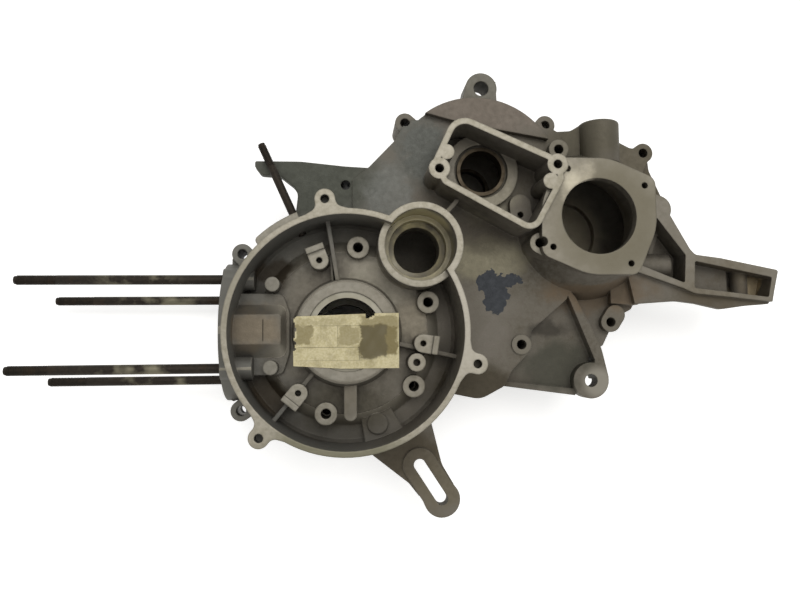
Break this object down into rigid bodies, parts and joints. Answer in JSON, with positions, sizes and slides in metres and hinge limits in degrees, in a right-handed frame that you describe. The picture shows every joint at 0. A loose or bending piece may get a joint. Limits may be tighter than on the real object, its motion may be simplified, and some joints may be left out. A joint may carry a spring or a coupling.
{
  "type": "engine crankcase",
  "caption": "Split cast-aluminium engine crankcase on its rear face, with an open flywheel housing, selector box, differential flange, mounting arm and long cylinder studs.",
  "frame": {"origin": "on the crank axis, in the joint face between the two castings", "axes": "+X away from the cylinder towards the differential, +Y across the case, +Z along the crank axis towards the flywheel side"},
  "size_m": [0.6405, 0.3963, 0.13],
  "materials": {
    "cast_aluminium": "dull grey casting with machined rims and brown oil stains",
    "stud_steel": "dark oiled steel with rolled threads",
    "bearing_steel": "ground steel, slightly oily",
    "label_paper": "yellowed and stained"
  },
  "bodies": {
    "root": {"crankcase_front_half": "cast_aluminium", "crankcase_rear_half": "cast_aluminium", "cylinder_stud_front_top": "stud_steel", "cylinder_stud_front_bottom": "stud_steel", "cylinder_stud_rear_top": "stud_steel", "cylinder_stud_rear_bottom": "stud_steel", "intake_stud": "stud_steel", "crank_bearing_ring_front": "bearing_steel", "crank_bearing_ring_rear": "bearing_steel", "gear_shaft_bush_front": "bearing_steel", "gear_shaft_bush_rear": "bearing_steel", "locating_dowel_left": "bearing_steel", "locating_dowel_right": "bearing_steel", "paper_label": "label_paper"}
  },
  "joints": []
}
